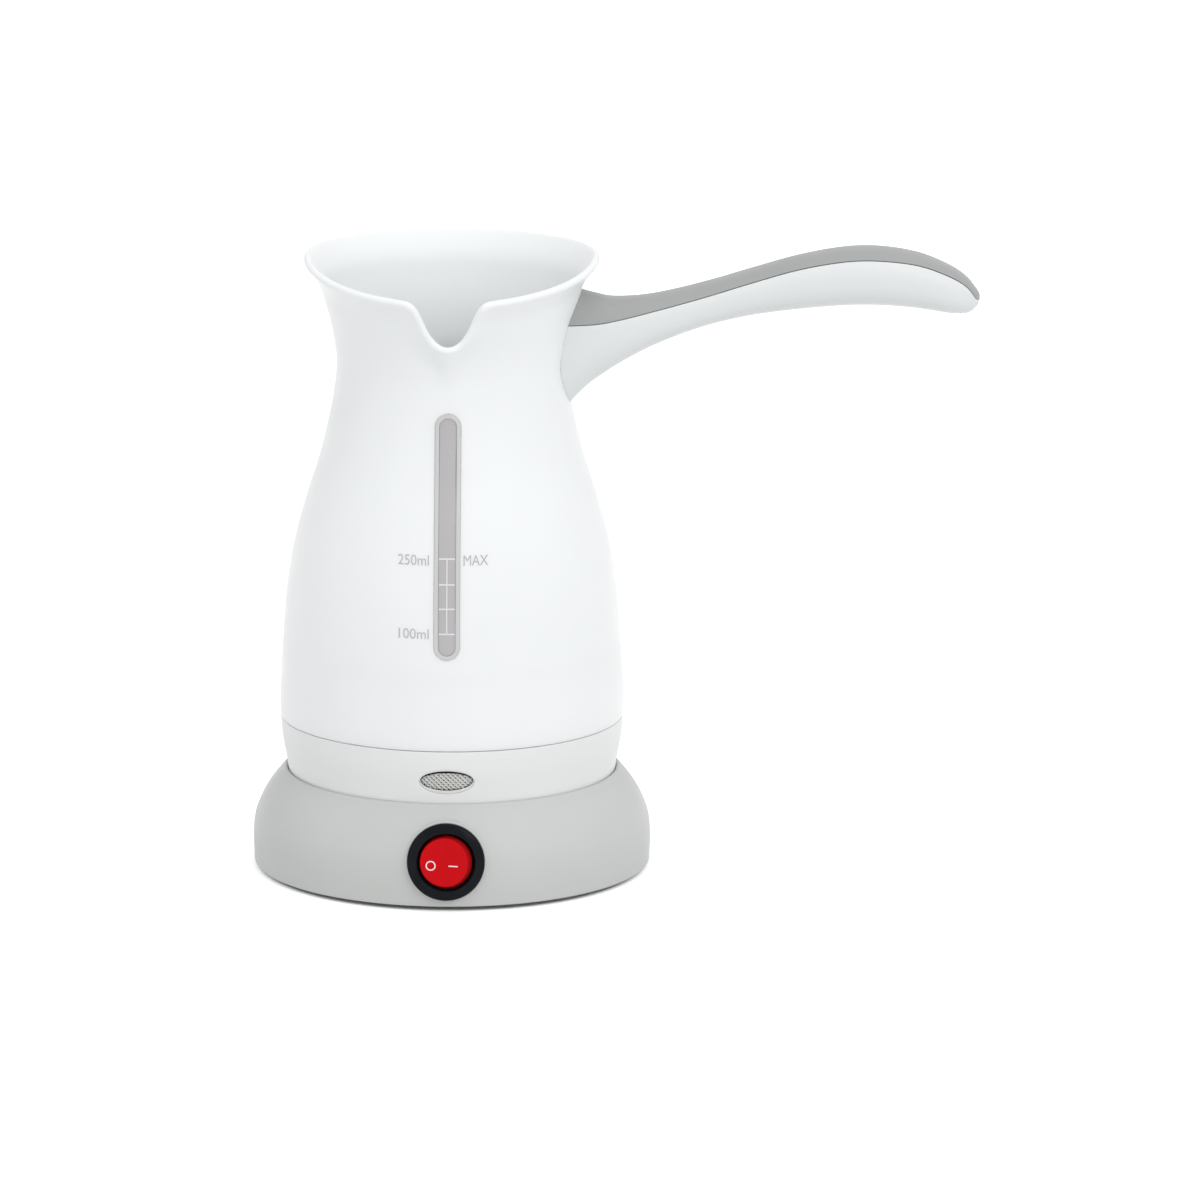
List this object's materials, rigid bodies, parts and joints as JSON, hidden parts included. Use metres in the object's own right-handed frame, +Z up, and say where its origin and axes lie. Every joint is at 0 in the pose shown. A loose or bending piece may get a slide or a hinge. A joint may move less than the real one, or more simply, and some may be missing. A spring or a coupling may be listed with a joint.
{
  "type": "electric turkish coffee maker",
  "caption": "Electric Turkish coffee maker: white pot with pour notch, level window and long handle, lifting off a round grey power base with a rocker switch.",
  "frame": {"origin": "on the pot's axis, on the surface that the base stands on, at the centre of the rubber foot ring", "axes": "+Z up along the pot's axis, -Y towards the pour spout and the switch, +X along the handle"},
  "size_m": [0.2173, 0.1254, 0.1895],
  "materials": {
    "white_plastic": "semi-gloss moulded polypropylene, slightly translucent",
    "grey_plastic": "satin moulded grey plastic",
    "cover_plastic": "fine spark-eroded moulded plastic",
    "foot_rubber": "matt rubber",
    "steel_screw": "zinc plated steel",
    "switch_black": "glossy black moulded plastic",
    "rocker_red": "glossy translucent red moulded plastic with white marks",
    "nylon_white": "natural nylon",
    "brass": "plain brass strip and rod",
    "connector_black": "matt heat-resistant moulding",
    "window_plastic": "smoked translucent level window with printed marks",
    "seal_silicone": "translucent silicone",
    "lens_clear": "clear moulded lens with a pyramid pattern",
    "bulb_glass": "neon glow lamp",
    "holder_plastic": "moulded nylon",
    "floor_steel": "stainless steel, fine circular polish",
    "clamp_steel": "zinc plated pressing",
    "spreader_aluminium": "plain aluminium",
    "heater_steel": "heat-toned steel tube",
    "thermostat_black": "phenolic body",
    "fuse_ceramic": "ceramic sleeve",
    "wire_brown": "insulated lead",
    "wire_blue": "insulated lead",
    "wire_green": "insulated lead",
    "wire_sleeve": "glass-fibre sleeving",
    "wire_grey": "insulated lead"
  },
  "bodies": {
    "base": {"base_shell": "grey_plastic", "base_bottom_cover": "cover_plastic", "foot_ring": "foot_rubber", "base_screws": "steel_screw", "switch_housing": "switch_black", "switch_terminals": "brass", "socket_block": "connector_black", "socket_contacts": "brass", "socket_screws": "steel_screw", "cord_gland": "foot_rubber", "cord_clamp": "connector_black", "cord_clamp_screws": "steel_screw", "switched_lead": "wire_brown"},
    "rocker": {"switch_rocker": "rocker_red", "switch_plunger": "nylon_white", "switch_spring": "steel_screw"},
    "contact_lever": {"switch_contact_lever": "brass"},
    "pot": {"pot_body": "white_plastic", "level_window": "window_plastic", "window_gasket": "seal_silicone", "lower_housing": "white_plastic", "lamp_lens": "lens_clear", "lamp_bulb": "bulb_glass", "lamp_holder": "holder_plastic", "floor_plate": "floor_steel", "floor_seal": "seal_silicone", "clamp_ring": "clamp_steel", "clamp_screws": "steel_screw", "heat_spreader": "spreader_aluminium", "heater_element": "heater_steel", "thermostat": "thermostat_black", "thermal_fuse": "fuse_ceramic", "inlet_block": "connector_black", "inlet_pins": "brass", "inlet_screws": "steel_screw", "housing_screws": "steel_screw", "live_lead": "wire_brown", "neutral_lead": "wire_blue", "heater_leads": "wire_sleeve", "earth_lead": "wire_green", "lamp_leads": "wire_grey", "handle_lower": "white_plastic", "handle_cap": "grey_plastic", "handle_screws": "steel_screw"}
  },
  "joints": [
    {"name": "pot_lift", "type": "slide", "parent": "base", "child": "pot", "axis": [0, 0, 1], "range_m": [0, 0.1]},
    {"name": "rocker_tilt", "type": "hinge", "parent": "base", "child": "rocker", "pos_m": [0, -0.0589, 0.015], "axis": [0, 0.1219, 0.9925], "range_deg": [0, 22]},
    {"name": "lever_tilt", "type": "hinge", "parent": "base", "child": "contact_lever", "pos_m": [0, -0.04937, 0.01383], "axis": [0, 0.1219, 0.9925], "range_deg": [-11, 0]}
  ],
  "couplings": [
    {"joint": "lever_tilt", "follows": "rocker_tilt", "ratio": -0.5}
  ]
}
